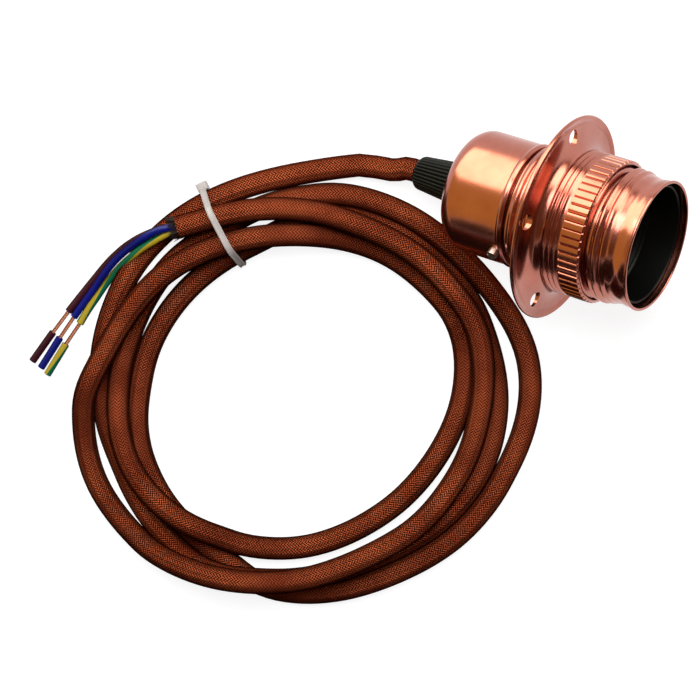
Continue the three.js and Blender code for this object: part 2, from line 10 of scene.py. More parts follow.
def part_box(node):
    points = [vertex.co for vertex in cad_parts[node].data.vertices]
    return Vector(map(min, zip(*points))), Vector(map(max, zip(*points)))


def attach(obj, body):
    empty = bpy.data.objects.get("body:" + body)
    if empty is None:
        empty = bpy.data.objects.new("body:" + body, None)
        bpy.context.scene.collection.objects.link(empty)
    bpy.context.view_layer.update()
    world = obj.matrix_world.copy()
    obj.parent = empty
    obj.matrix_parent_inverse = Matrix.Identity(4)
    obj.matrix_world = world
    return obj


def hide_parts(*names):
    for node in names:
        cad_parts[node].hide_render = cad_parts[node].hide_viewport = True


print("loading the frame")
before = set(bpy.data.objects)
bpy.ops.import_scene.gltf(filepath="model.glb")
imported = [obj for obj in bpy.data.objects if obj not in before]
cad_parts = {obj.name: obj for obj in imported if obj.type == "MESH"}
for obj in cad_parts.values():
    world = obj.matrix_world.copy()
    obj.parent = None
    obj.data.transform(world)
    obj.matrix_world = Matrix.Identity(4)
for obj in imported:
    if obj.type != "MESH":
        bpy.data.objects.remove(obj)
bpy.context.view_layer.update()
mm = 0.001

# the holder's own sizes in millimetres, measured along its axis from the flange
holderSizes = {
    "flangeRadius": 30.3,
    "flangeRimBead": 0.75,
    "capRadius": 18.3,
    "capShoulder": 6.0,
    "capRearAt": -33.0,
    "capMouthAt": -10.4,
    "gripTipAt": -49.3,
}


# it lies on the flange's rim and on the cap's shoulder
def restingTilt(sizes):
    rise = sizes["flangeRadius"] - (sizes["capRadius"] - sizes["capShoulder"])
    run = -(sizes["capRearAt"] + sizes["capShoulder"])
    return math.acos(sizes["capShoulder"] / math.hypot(rise, run)) - math.atan2(run, rise)


tilt = restingTilt(holderSizes)
rimReach = (holderSizes["flangeRadius"] - holderSizes["flangeRimBead"]) * math.sin(tilt)
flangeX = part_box("shade_ring")[0].x / mm + rimReach + holderSizes["flangeRimBead"]
flangeZ = holderSizes["flangeRadius"] * math.cos(tilt)
holderPlace = Matrix.Translation((flangeX, 0, flangeZ)) @ Matrix.Rotation(-tilt, 4, "Y")


# a point of the holder, in the part's millimetres
def onHolder(at, y=0.0, up=0.0):
    return holderPlace @ Vector((at, y, up))


# camera: stands over the holder and leans towards the coil, rolled so that the holder points right
# and a little down; "under" is where the photo shows the floor straight below it
cameraSettings = {
    "height": 727.0, "floorScale": 3.28, "imageSize": 700, "roll": 17.1, "under": (606, 186),
    "flangeInPhoto": (564, 217.5), "aim": (352, 349), "aimRoll": 16.87, "zoom": 1.012, "sensor": 36.0,
}


# millimetres to the right of the spot under the camera, and up the photo from it
def photoPlan(u, v, height):
    underU, underV = cameraSettings["under"]
    scale = (1 - height / cameraSettings["height"]) / cameraSettings["floorScale"]
    return (u - underU) * scale, (underV - v) * scale


# a point seen in the photo, at a height above the floor (a strand's on the floor, if none is given),
# in the part's millimetres
def fromPhoto(u, v, height=3.5):
    x, y = photoPlan(u, v, height)
    flangePlanX, flangePlanY = photoPlan(*cameraSettings["flangeInPhoto"], flangeZ)
    x, y = x - flangePlanX, y - flangePlanY
    turn = math.radians(cameraSettings["roll"])
    across = x * math.cos(turn) - y * math.sin(turn) + flangeX
    return Vector((across, x * math.sin(turn) + y * math.cos(turn), height))


def addObject(name, data):
    thing = bpy.data.objects.new(name, data)
    bpy.context.scene.collection.objects.link(thing)
    return thing


def addCamera():
    data = bpy.data.cameras.new("camera")
    camera = addObject("camera", data)
    place = fromPhoto(*cameraSettings["under"], 0)
    place.z = cameraSettings["height"]
    camera.location = place * mm
    back = (place - fromPhoto(*cameraSettings["aim"], 0)).normalized()
    turn = math.radians(cameraSettings["aimRoll"])
    up = Vector((-math.sin(turn), math.cos(turn), 0))
    up = (up - back * up.dot(back)).normalized()
    camera.rotation_euler = Matrix((up.cross(back), up, back)).transposed().to_euler()
    focal = cameraSettings["height"] * cameraSettings["floorScale"] * cameraSettings["zoom"]
    data.sensor_width = cameraSettings["sensor"]
    data.lens = focal * cameraSettings["sensor"] / cameraSettings["imageSize"]
    data.clip_start, data.clip_end = 0.01, 20
    bpy.context.scene.camera = camera


addCamera()


# shader helpers

def feed(tree, socket, value):
    if isinstance(value, bpy.types.NodeSocket):
        tree.links.new(value, socket)
    else:
        socket.default_value = value


def fill(tree, sockets, values):
    for label, value in values.items():
        feed(tree, sockets[label], value)


def mathNode(tree, operation, *values, clamp=False):
    node = tree.nodes.new("ShaderNodeMath")
    node.operation = operation
    node.use_clamp = clamp
    for socket, value in zip(node.inputs, values):
        feed(tree, socket, value)
    return node.outputs[0]


def times(tree, first, second, clamp=False):
    return mathNode(tree, "MULTIPLY", first, second, clamp=clamp)


def plus(tree, first, second, clamp=False):
    return mathNode(tree, "ADD", first, second, clamp=clamp)


def minus(tree, first, second):
    return mathNode(tree, "SUBTRACT", first, second)


def mixColour(tree, share, first, second):
    node = tree.nodes.new("ShaderNodeMix")
    node.data_type = "RGBA"
    fill(tree, node.inputs, {0: share, 6: first, 7: second})
    return node.outputs[2]


def coordinates(tree, kind):
    return tree.nodes.new("ShaderNodeTexCoord").outputs[kind]


def splitCoordinates(tree):
    node = tree.nodes.new("ShaderNodeSeparateXYZ")
    feed(tree, node.inputs[0], coordinates(tree, "UV"))
    return node.outputs


def stretch(tree, vector, amounts):
    node = tree.nodes.new("ShaderNodeVectorMath")
    node.operation = "MULTIPLY"
    fill(tree, node.inputs, {0: vector, 1: amounts})
    return node.outputs[0]


def noiseNode(tree, vector, scale, detail=3.0, roughness=0.5):
    node = tree.nodes.new("ShaderNodeTexNoise")
    fill(tree, node.inputs, {"Vector": vector, "Scale": scale, "Detail": detail, "Roughness": roughness})
    return node.outputs["Fac"]


# noise lies mostly between noiseSpan's two values, so they are taken to low and high
noiseSpan = (0.35, 0.65)


def spread(tree, value, low, high):
    node = tree.nodes.new("ShaderNodeMapRange")
    fill(tree, node.inputs, dict(enumerate((value, *noiseSpan, low, high))))
    return node.outputs["Result"]


def newGroup(name, inputs, outputs):
    group = bpy.data.node_groups.new(name, "ShaderNodeTree")
    for label, value in inputs:
        socket = group.interface.new_socket(name=label, in_out="INPUT", socket_type="NodeSocketFloat")
        socket.default_value = value
    for label in outputs:
        group.interface.new_socket(name=label, in_out="OUTPUT", socket_type="NodeSocketFloat")
    return group, group.nodes.new("NodeGroupInput").outputs, group.nodes.new("NodeGroupOutput").inputs


def placeGroup(tree, group, **values):
    node = tree.nodes.new("ShaderNodeGroup")
    node.node_tree = group
    fill(tree, node.inputs, values)
    return node.outputs


def newMaterial(name):
    material = bpy.data.materials.new(name)
    material.use_nodes = True
    tree = material.node_tree
    return material, tree, tree.nodes["Principled BSDF"].inputs


def bumpNode(tree, height, strength, distance):
    node = tree.nodes.new("ShaderNodeBump")
    fill(tree, node.inputs, {"Strength": strength, "Distance": distance, "Height": height})
    return node.outputs["Normal"]


# handling marks: faint cloudy bloom and fine hairlines, shared by all the metals
def makeHandledGroup():
    inputs = [("Cloud Scale", 60.0), ("Hairline Scale", 900.0)]
    group, given, result = newGroup("handledMetal", inputs, ["Bloom", "Hairlines"])
    place = coordinates(group, "Object")
    drawn = stretch(group, place, (1.0, 0.12, 0.5))
    fill(group, result, {
        "Bloom": noiseNode(group, place, given["Cloud Scale"], 4.0, 0.6),
        "Hairlines": noiseNode(group, drawn, given["Hairline Scale"], 2.0),
    })
    return group


# moulding grain: a fine pebble and a slow change of shade, for the plastics and the cores
def makeMouldedGroup():
    inputs = [("Grain Scale", 2500.0), ("Shade Scale", 80.0)]
    group, given, result = newGroup("mouldedSurface", inputs, ["Grain", "Shade"])
    place = coordinates(group, "Object")
    fill(group, result, {
        "Grain": noiseNode(group, place, given["Grain Scale"], 2.0),
        "Shade": noiseNode(group, place, given["Shade Scale"]),
    })
    return group


handledGroup = makeHandledGroup()
mouldedGroup = makeMouldedGroup()


def makeMetal(name, bright, dull, roughness, spin=0.0):
    material, tree, shader = newMaterial(name)
    marks = placeGroup(tree, handledGroup)
    height = marks["Hairlines"]
    if spin:
        rings = stretch(tree, coordinates(tree, "UV"), (2.0, spin, 1.0))
        height = plus(tree, height, noiseNode(tree, rings, 1.0))
    fill(tree, shader, {
        "Base Color": mixColour(tree, spread(tree, marks["Bloom"], 0.0, 1.0), bright, dull),
        "Metallic": 1.0,
        "Roughness": spread(tree, marks["Bloom"], roughness - 0.03, roughness + 0.05),
        "Normal": bumpNode(tree, height, 0.12, 0.00004),
    })
    return material


# colour falls by the share "shade" in the darker patches; grain is how deep the pebble looks
def makePlastic(name, colour, roughness, shade=0.25, grain=0.3, gloss=0.2):
    material, tree, shader = newMaterial(name)
    surface = placeGroup(tree, mouldedGroup)
    darker = [channel * (1 - shade) for channel in colour[:3]] + [1.0]
    fill(tree, shader, {
        "Base Color": mixColour(tree, spread(tree, surface["Shade"], 0.0, 1.0), darker, colour),
        "Roughness": spread(tree, surface["Grain"], roughness - 0.06, roughness + 0.06),
        "Specular IOR Level": gloss,
        "Normal": bumpNode(tree, surface["Grain"], grain, 0.00005),
    })
    return material


finishes = {
    "copperBright": (0.45, 0.160, 0.118, 1.0),
    "copperDull": (0.37, 0.120, 0.086, 1.0),
    "copperRoughness": 0.20,
    "brassBright": (0.66, 0.46, 0.18, 1.0),
    "brassDull": (0.48, 0.31, 0.12, 1.0),
    "steelBright": (0.62, 0.60, 0.58, 1.0),
    "steelDull": (0.42, 0.41, 0.40, 1.0),
    "strandBright": (0.42, 0.17, 0.11, 1.0),
    "strandDull": (0.22, 0.07, 0.045, 1.0),
    "blackPlastic": (0.003, 0.0035, 0.003, 1.0),
    "coreBrown": (0.050, 0.006, 0.014, 1.0),
    "coreBlue": (0.003, 0.008, 0.210, 1.0),
    "coreGreen": (0.003, 0.140, 0.065, 1.0),
    "coreYellow": (0.50, 0.36, 0.02, 1.0),
    "nylon": (0.60, 0.54, 0.51, 1.0),
}

stripeSettings = {"count": 2.0, "turnsPerMm": 0.012, "halfShare": 0.26, "crispness": 40.0}


# the earth core: green with yellow stripes that wind slowly round it
def makeStripedCore(name, green, yellow, settings):
    material, tree, shader = newMaterial(name)
    surface = placeGroup(tree, mouldedGroup)
    uv = splitCoordinates(tree)
    wound = plus(tree, uv["X"], times(tree, uv["Y"], settings["turnsPerMm"]))
    share = mathNode(tree, "FRACT", times(tree, wound, settings["count"]))
    edge = mathNode(tree, "ABSOLUTE", minus(tree, share, 0.5))
    stripe = times(tree, minus(tree, settings["halfShare"], edge), settings["crispness"], clamp=True)
    fill(tree, shader, {
        "Base Color": mixColour(tree, stripe, green, yellow),
        "Roughness": spread(tree, surface["Grain"], 0.32, 0.44),
        "Specular IOR Level": 0.25,
        "Normal": bumpNode(tree, surface["Grain"], 0.25, 0.00005),
    })
    return material


print("making the materials")
copper = makeMetal("spunCopper", finishes["copperBright"], finishes["copperDull"],
                   finishes["copperRoughness"], spin=2.2)
brass = makeMetal("pressedBrass", finishes["brassBright"], finishes["brassDull"], 0.28)
steel = makeMetal("platedSteel", finishes["steelBright"], finishes["steelDull"], 0.30)
strandCopper = makeMetal("bareStrands", finishes["strandBright"], finishes["strandDull"], 0.30)
blackPlastic = makePlastic("blackMoulding", finishes["blackPlastic"], 0.42, gloss=0.1)
brownInsulation = makePlastic("brownInsulation", finishes["coreBrown"], 0.36)
blueInsulation = makePlastic("blueInsulation", finishes["coreBlue"], 0.34)
earthInsulation = makeStripedCore("earthInsulation", finishes["coreGreen"], finishes["coreYellow"],
                                  stripeSettings)
tieNylon = makePlastic("tieNylon", finishes["nylon"], 0.38, shade=0.12, gloss=0.5)


# mesh helpers

def smoothMesh(mesh, sharp):
    mesh.shade_smooth()
    mesh.set_sharp_from_angle(angle=math.radians(sharp))


def dressPiece(name, mesh, material, slotName, sharp):
    smoothMesh(mesh, sharp)
    mesh.materials.append(material)
    piece = addObject(name, mesh)
    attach(piece, "root")
    return piece


def newPiece(name, vertices, faces, uvs, material, slotName, sharp=32):
    mesh = bpy.data.meshes.new(name)
    mesh.from_pydata([tuple(point) for point in vertices], [], faces)
    layer = mesh.uv_layers.new(name="UVMap")
    layer.data.foreach_set("uv", np.array(uvs, dtype=float).ravel())
    shape = bmesh.new()
    shape.from_mesh(mesh)
    if shape.calc_volume(signed=True) < 0:
        bmesh.ops.reverse_faces(shape, faces=shape.faces)
    shape.to_mesh(mesh)
    shape.free()
    return dressPiece(name, mesh, material, slotName, sharp)


# rings of points joined into one closed skin; ends are capped unless the rings close on themselves
def skin(rings, closedUp=False, lengths=None):
    rows, around = len(rings), len(rings[0])
    vertices = [point for ring in rings for point in ring]
    faces, uvs = [], []
    if lengths is None:
        lengths = list(range(rows + 1))
    for row in range(rows if closedUp else rows - 1):
        nextRow = (row + 1) % rows
        for step in range(around):
            nextStep = (step + 1) % around
            faces.append((row * around + step, row * around + nextStep,
                          nextRow * around + nextStep, nextRow * around + step))
            low, high = lengths[row], lengths[row + 1]
            left, right = step / around, (step + 1) / around
            uvs += [(left, low), (right, low), (right, high), (left, high)]
    if not closedUp:
        for ring in (range(around), range((rows - 1) * around, rows * around)):
            faces.append(tuple(ring) if ring[0] else tuple(reversed(ring)))
            uvs += [(0.5, 0.0)] * around
    return vertices, faces, uvs


# several skins in one mesh
def joinedSkins(skins):
    vertices, faces, uvs = [], [], []
    for some, skinFaces, someUvs in skins:
        faces += [tuple(len(vertices) + corner for corner in face) for face in skinFaces]
        vertices += some
        uvs += someUvs
    return vertices, faces, uvs


def circleRing(centre, side, up, radius, around):
    turns = [math.tau * step / around for step in range(around)]
    return [Vector(centre + (side * math.cos(turn) + up * math.sin(turn)) * radius) * mm for turn in turns]


# length round a closed profile as far as each point
def runRound(profile):
    run = [0.0]
    for (a, b), (c, d) in zip(profile, profile[1:] + profile[:1]):
        run.append(run[-1] + math.hypot(c - a, d - b))
    return run


# a profile of (at, radius) turned about the holder's axis; shape may change each point's radius
def turnPiece(name, profile, around, material, slotName, shape=None, sharp=32):
    rings = []
    for at, radius in profile:
        ring = []
        for step in range(around):
            angle = math.tau * step / around
            reach = shape(radius, at, angle) if shape else radius
            ring.append(onHolder(at, reach * math.cos(angle), reach * math.sin(angle)) * mm)
        rings.append(ring)
    return newPiece(name, *skin(rings, closedUp=True, lengths=runRound(profile)), material, slotName, sharp)


def arcPoints(centreAt, centreRadius, radius, fromAngle, toAngle, steps):
    points = []
    for step in range(steps + 1):
        angle = math.radians(fromAngle + (toAngle - fromAngle) * step / steps)
        points.append((centreAt + radius * math.sin(angle), centreRadius + radius * math.cos(angle)))
    return points


# smooth curve through points, sampled evenly
def smoothPath(points, step):
    knots = np.array([tuple(point) for point in points], dtype=float)
    padded = np.vstack([2 * knots[0] - knots[1], knots, 2 * knots[-1] - knots[-2]])
    dense = []
    for before, start, end, after in zip(padded, padded[1:], padded[2:], padded[3:]):
        for share in np.linspace(0, 1, 24, endpoint=False):
            linear = (end - before) * share
            square = (2 * before - 5 * start + 4 * end - after) * share ** 2
            cube = (3 * start - before - 3 * end + after) * share ** 3
            dense.append(start + 0.5 * (linear + square + cube))
    dense.append(knots[-1])
    return evenPath(np.array(dense), step)


def runAlong(points):
    return np.concatenate([[0], np.cumsum(np.linalg.norm(np.diff(points, axis=0), axis=1))])


def evenPath(points, step):
    run = runAlong(points)
    marks = np.linspace(0, run[-1], max(2, round(run[-1] / step)) + 1)
    return np.column_stack([np.interp(marks, run, points[:, axis]) for axis in range(3)])


# section frames that don't twist along the path
def framesAlong(points):
    ways = np.gradient(points, axis=0)
    ways /= np.linalg.norm(ways, axis=1)[:, None]
    side = np.cross(ways[0], (0.0, 0.0, 1.0))
    side /= np.linalg.norm(side)
    sides = []
    for way in ways:
        side = side - way * side.dot(way)
        side /= np.linalg.norm(side)
        sides.append(side)
    return ways, np.array(sides), np.cross(ways, np.array(sides))


def tubePiece(name, points, radius, around, material, slotName, sharp=50):
    ways, sides, ups = framesAlong(points)
    rings = [circleRing(*place, radius, around) for place in zip(points, sides, ups)]
    return newPiece(name, *skin(rings, lengths=list(runAlong(points))), material, slotName, sharp)


# flex: its route as seen in the photo, each stop as a pixel and a height in millimetres, which is
# 3.5 on the floor where none is given, about 9.8 on one strand and about 16 on two
cordSettings = {
    "diameter": 7.0, "length": 1.54, "step": 2.5, "around": 28, "gap": 6.8, "ignoreNear": 30.0,
    "heldStart": 24.0, "capClearance": 1.0, "laps": 170, "lateFrom": 0.7, "pull": (0.10, 0.03),
    "sink": (0.05, 0.015), "smoothing": 0.35,
}
gripTip = onHolder(holderSizes["gripTipAt"])
gripWay = (onHolder(-1) - onHolder(0)).normalized()
leadRoute = [(-47, -1.7, 5.4), (-52, -2.3, 4.1), (-56.5, -3.2, 3.6), (-60.5, -4.3, 3.52)]
flexRoute = [
    # from the grip, down the left side, outermost
    (300, 173.5), (272, 179), (240, 188), (206, 202), (176, 221), (150, 244), (130, 269), (114, 300),
    (103, 333), (98, 368), (100, 400), (107, 430), (118, 459), (132, 491), (150, 521),
    # under the bottom crossing and up the right side
    (172, 545), (200, 564, 4.5), (235, 578, 8), (272, 585, 9.8), (305, 585, 9.8), (340, 577, 9.8),
    (372, 565, 9.5), (404, 551, 9), (430, 538, 7.5), (452, 521, 5.5), (470, 498, 4), (483, 474),
    (492, 448), (497, 420), (499, 392),
    # over the top and down the left side, innermost
    (495, 362), (487, 335), (475, 307), (457, 283), (435, 259), (410, 238), (382, 222), (352, 213),
    (322, 213), (292, 226), (262, 240), (234, 252), (206, 271), (181, 294), (161, 321), (146, 350),
    (137, 382), (133, 414), (136, 446), (144, 475),
    # round the bottom and up the right side, outermost
    (157, 501), (175, 524), (197, 546), (222, 566), (252, 583), (285, 591), (318, 591), (352, 585),
    (386, 573.5), (418, 557.5), (448, 537), (476, 511), (499, 482), (517, 452), (529, 419), (533.5, 386),
    (530.5, 353), (518, 324), (501, 299),
    # over the top and down the left side, in the middle
    (482, 276), (459, 257), (433, 236), (404, 216), (374, 203.5), (344, 196.5), (314, 195), (284, 199),
    (254, 209), (224, 226), (196, 243), (171, 262), (151, 288), (136, 313, 4.5), (125, 340, 7),
    (115, 368, 9), (111.5, 400, 9.5), (113, 432, 9.5), (121, 460, 9.8),
    # round the bottom and up the right side, innermost
    (135, 482, 10), (152, 502, 10), (175, 520, 8.5), (205, 536, 5), (238, 547), (272, 551), (306, 549),
    (340, 538.5), (372, 522), (403, 500), (429, 471), (449, 440), (463, 408), (469, 374), (468, 340),
    (460, 304),
    # over the top, on the others, and down the left side
    (445, 284), (420, 263), (393, 249.5), (364, 240, 4.5), (336, 233.5, 7.5), (306, 230, 10),
    (276, 233, 10.5), (246, 238.5, 10.5), (216, 245, 10.5), (188, 255.5, 10.5), (163, 271, 10.5),
    (143, 292, 10.5), (125, 315, 10.5), (111, 337, 10), (99, 360, 9), (88, 385, 7), (81.5, 412, 4.5),
    (80.5, 440), (85, 466),
    # round the bottom, on the others
    (94, 489), (108, 511), (125, 531, 4), (146, 549, 6), (172, 565, 9.5), (202, 576.5, 12.5),
    (234, 583, 15.5), (266, 585.5, 16), (300, 583.5, 16), (332, 574.5, 16), (362, 562, 15.5),
    (392, 546, 14), (420, 529, 12), (443, 503, 10.5), (463, 475, 10), (476, 444, 9.8), (484, 412, 9.8),
    (488, 378, 9.8), (486, 344, 9.8), (476, 314, 10),
    # over the top to the stripped end
    (456, 290, 10), (435, 265, 9.8), (407, 244.5, 9.8), (376, 229, 9.8), (346, 218, 9.8),
    (316, 209.5, 9.8), (286, 206.5, 9.8), (256, 207.5, 9.8), (228, 213.5, 10), (202, 220, 10),
    (178, 226.5, 9.8),
]


# lets the strands settle: they push each other apart, sink to what is under them and stay near the route
def settleCord(points, settings):
    start = points.copy()
    count = len(points)
    apart = round(settings["ignoreNear"] / settings["step"])
    order = np.arange(count)
    checked = order[None, :] - order[:, None] > apart
    free = order * settings["step"] > settings["heldStart"]
    axisStart = np.array(onHolder(holderSizes["capMouthAt"]))
    axisWay = np.array(gripWay)
    capLength = holderSizes["capMouthAt"] - holderSizes["capRearAt"]
    capReach = holderSizes["capRadius"] + settings["capClearance"] + settings["diameter"] / 2
    for lap in range(settings["laps"]):
        gaps = points[:, None, :] - points[None, :, :]
        distance = np.sqrt((gaps ** 2).sum(axis=2))
        near, other = np.nonzero(checked & (distance < settings["gap"]))
        away = gaps[near, other] / distance[near, other][:, None]
        push = away * (0.5 * (settings["gap"] - distance[near, other]))[:, None]
        move, touches = np.zeros_like(points), np.ones(count)
        np.add.at(move, near, push)
        np.add.at(move, other, -push)
        np.add.at(touches, near, 0.5)
        np.add.at(touches, other, 0.5)
        move /= touches[:, None]
        late = lap >= settings["laps"] * settings["lateFrom"]
        move[:, :2] += settings["pull"][late] * (start[:, :2] - points[:, :2])
        move[:, 2] -= settings["sink"][late]
        middle = 0.5 * (points[:-2] + points[2:]) - points[1:-1]
        move[1:-1] += settings["smoothing"] * middle
        along = (points - axisStart) @ axisWay
        beside = points - axisStart - along[:, None] * axisWay
        reach = np.linalg.norm(beside, axis=1)
        inCap = (along > 0) & (along < capLength) & (reach < capReach)
        move[inCap] += beside[inCap] * (capReach / reach[inCap] - 1)[:, None]
        points = points + move * free[:, None]
        points[:, 2] = np.maximum(points[:, 2], settings["diameter"] / 2)
    return points


print("laying the flex")
insideGrip = [gripTip - gripWay * 3, gripTip, gripTip + gripWay * 4]
stops = insideGrip + [Vector(stop) for stop in leadRoute]
stops += [fromPhoto(*stop) for stop in flexRoute]
cordPath = settleCord(smoothPath(stops, cordSettings["step"]), cordSettings)
cordPath = evenPath(cordPath, cordSettings["step"])
print("flex length in millimetres", round(float(runAlong(cordPath)[-1]), 1))


# braid: two families of yarn that cross two over, two under, which draws rows of small chevrons
def makeBraidGroup():
    inputs = [("Around", 0.0), ("Along", 0.0), ("Carriers", 16.0), ("Lay", 25.0)]
    group, given, result = newGroup("braidedYarn", inputs, ["Height", "Depth Shade", "Fibres"])
    climb = mathNode(group, "DIVIDE", given["Along"], given["Lay"])
    rounded, lanes, fibres = [], [], []
    for sign in ("ADD", "SUBTRACT"):
        lane = times(group, mathNode(group, sign, given["Around"], climb), given["Carriers"])
        lanes.append(lane)
        middle = minus(group, mathNode(group, "FRACT", lane), 0.5)
        square = times(group, times(group, middle, middle), 4.0)
        rounded.append(minus(group, 1.0, square))
    for across, down in (lanes, reversed(lanes)):
        stretched = group.nodes.new("ShaderNodeCombineXYZ")
        fill(group, stretched.inputs, {0: times(group, across, 7.0), 1: times(group, down, 0.7)})
        fibres.append(noiseNode(group, stretched.outputs[0], 1.0, 2.0))
    cell = plus(group, mathNode(group, "FLOOR", lanes[0]), mathNode(group, "FLOOR", lanes[1]))
    quarter = mathNode(group, "FRACT", times(group, cell, 0.25))
    firstOnTop = mathNode(group, "LESS_THAN", quarter, 0.45)

    def choose(pair):
        return plus(group, pair[1], times(group, minus(group, pair[0], pair[1]), firstOnTop))

    yarn = choose(rounded)
    top = plus(group, yarn, times(group, choose(rounded[::-1]), 0.25))
    strands = choose(fibres)
    fill(group, result, {
        "Height": plus(group, top, times(group, strands, 0.35)),
        "Depth Shade": mathNode(group, "POWER", yarn, 1.5, clamp=True),
        "Fibres": strands,
    })
    return group


# colours of the braid: gap and edge are painted shade, sheen is a painted sheen
braidColours = {
    "gap": (0.004, 0.0006, 0.0004, 1.0), "yarn": (0.190, 0.030, 0.013, 1.0),
    "sheen": (0.620, 0.140, 0.055, 1.0), "edge": (0.030, 0.0045, 0.0025, 1.0), "paintedEdgeShade": 1.35,
    "tint": (0.50, 0.20, 0.12, 1.0), "carriers": 22.0, "lay": 21.0, "lustre": 0.50, "patches": 55.0,
    "relief": 0.00040,
}


def makeBraidMaterial(group, colours):
    material, tree, shader = newMaterial("braidedFlex")
    uv = splitCoordinates(tree)
    braid = placeGroup(tree, group, Around=uv["X"], Along=uv["Y"], Carriers=colours["carriers"],
                       Lay=colours["lay"])
    # painted sheen: the yarn turns to the brighter sheen colour in random patches and along the fibres
    sheenPatches = spread(tree, noiseNode(tree, coordinates(tree, "Object"), colours["patches"]), 0.0, 0.45)
    bright = plus(tree, sheenPatches, spread(tree, braid["Fibres"], -0.1, 0.4), clamp=True)
    flat = mixColour(tree, bright, colours["yarn"], colours["sheen"])
    # painted shade: where the strand turns away from the camera, the yarn turns to the dark edge colour
    facing = tree.nodes.new("ShaderNodeLayerWeight")
    facing.inputs["Blend"].default_value = 0.5
    turned = times(tree, facing.outputs["Facing"], colours["paintedEdgeShade"], clamp=True)
    yarn = mixColour(tree, turned, flat, colours["edge"])
    fill(tree, shader, {
        # painted shade: the gap colour darkens the hollows between the yarns, following Depth Shade
        "Base Color": mixColour(tree, braid["Depth Shade"], colours["gap"], yarn),
        "Roughness": spread(tree, braid["Fibres"], 0.28, 0.42),
        "Metallic": colours["lustre"],
        "Specular IOR Level": 0.0,
        "Specular Tint": colours["tint"],
        "Normal": bumpNode(tree, braid["Height"], 0.9, colours["relief"]),
    })
    return material


braidedFlex = makeBraidMaterial(makeBraidGroup(), braidColours)
flexRadius = cordSettings["diameter"] / 2
flex = tubePiece("flex", cordPath, flexRadius, cordSettings["around"], braidedFlex, "braid")


# stripped end: the cores leave the braid on top of the outer strand and run down to the floor
coreSettings = {
    "coreRadius": 1.15, "step": 0.8, "around": 20, "bareRadius": 0.6, "strandCount": 7,
    "strandRadius": 0.21, "strandLay": 5.0, "strandStep": 0.25, "strandAround": 8, "intoCore": 1.5,
    "intoSlug": 1.2, "slugLength": 11.2, "slugBore": 0.72, "slugEdge": 0.12, "slugDeep": 1.5,
    "slugGap": 0.3, "slugAround": 24,
}
coreRoutes = {
    "brown": [
        (178, 226, 9.4), (168, 227, 9.3), (154, 231, 8.8), (140, 237, 7.2), (127, 245, 5.0),
        (116, 254, 3.4), (106, 264, 2.4), (92, 280.5, 1.5), (80, 295, 1.17), (67, 311, 1.16),
    ],
    "blue": [
        (178, 226.5, 10.2), (168, 227.5, 11.0), (156, 231, 10.8), (143, 238, 9.8), (130, 247, 7.2),
        (116.5, 258.5, 5), (104, 273, 3.9), (94.5, 287, 2.4), (84, 301, 1.5), (72.5, 316.5, 1.16),
    ],
    "earth": [
        (178, 228.5, 9.0), (169, 232.5, 9.4), (158, 238.5, 9.2), (145, 246, 8.6), (133, 255, 7.2),
        (123, 263.5, 4.4), (114, 273, 2.2), (105, 284, 1.4), (95.5, 297.5, 1.17), (87, 309.5, 1.16),
        (78.5, 323, 1.16),
    ],
}
bareRoutes = {
    "brown": [(67, 311, 1.16), (51.5, 331, 1.16), (29.5, 361, 1.16)],
    "blue": [(72.5, 316.5, 1.16), (58.5, 336.5, 1.16), (38, 368, 1.16)],
    "earth": [(78.5, 323, 1.16), (64.5, 343, 1.16), (44, 375.5, 1.16)],
}
insulations = {"brown": brownInsulation, "blue": blueInsulation, "earth": earthInsulation}


def makeCore(colour, settings):
    path = smoothPath([fromPhoto(*stop) for stop in coreRoutes[colour]], settings["step"])
    piece = tubePiece(f"{colour}Core", path, settings["coreRadius"], settings["around"], insulations[colour],
                      f"core_{colour}")
    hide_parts(f"core_{colour}")
    return piece


# twisted strands, the first straight and the rest round it
def makeBareEnd(colour, settings):
    start, end = [fromPhoto(*stop) for stop in bareRoutes[colour][:2]]
    way = (end - start).normalized()
    ends = [tuple(start - way * settings["intoCore"]), tuple(end + way * settings["intoSlug"])]
    path = evenPath(np.array(ends), settings["strandStep"])
    ways, sides, ups = framesAlong(path)
    climb = np.arange(len(path)) * settings["strandStep"] / settings["strandLay"] * math.tau
    skins = []
    for strand in range(settings["strandCount"]):
        reach = settings["bareRadius"] - settings["strandRadius"] if strand else 0.0
        angles = strand * math.tau / (settings["strandCount"] - 1) + climb
        line = path + reach * (sides * np.cos(angles)[:, None] + ups * np.sin(angles)[:, None])
        rings = [circleRing(*place, settings["strandRadius"], settings["strandAround"])
                 for place in zip(line, sides, ups)]
        skins.append(skin(rings))
    piece = newPiece(f"{colour}BareEnd", *joinedSkins(skins), strandCopper, "bare_copper", 60)
    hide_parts(f"bare_end_{colour}")
    return piece


# the slug of insulation left on the end, a short tube with a clean cut, hollow at both ends
def makeSlug(colour, settings):
    start, end = [fromPhoto(*stop) for stop in bareRoutes[colour][1:]]
    way = (end - start).normalized()
    outer, inner, core = settings["coreRadius"], settings["slugBore"], 0.02
    length, edge, deep = settings["slugLength"], settings["slugEdge"], settings["slugDeep"]
    profile = [(0, outer - edge), (edge, outer), (length - edge, outer), (length, outer - edge),
               (length, inner), (length - deep, core), (deep, core), (0, inner)]
    side = way.cross(Vector((0, 0, 1))).normalized()
    up = side.cross(way)
    rings = [circleRing(start + way * (at + settings["slugGap"]), side, up, radius, settings["slugAround"])
             for at, radius in profile]
    piece = newPiece(f"{colour}Slug", *skin(rings, closedUp=True, lengths=runRound(profile)),
                     insulations[colour], f"core_{colour}")
    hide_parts(f"slug_{colour}")
    return piece


print("stripping the end")
cordPieces = []
for colour in insulations:
    cordPieces += [make(colour, coreSettings) for make in (makeCore, makeBareEnd, makeSlug)]


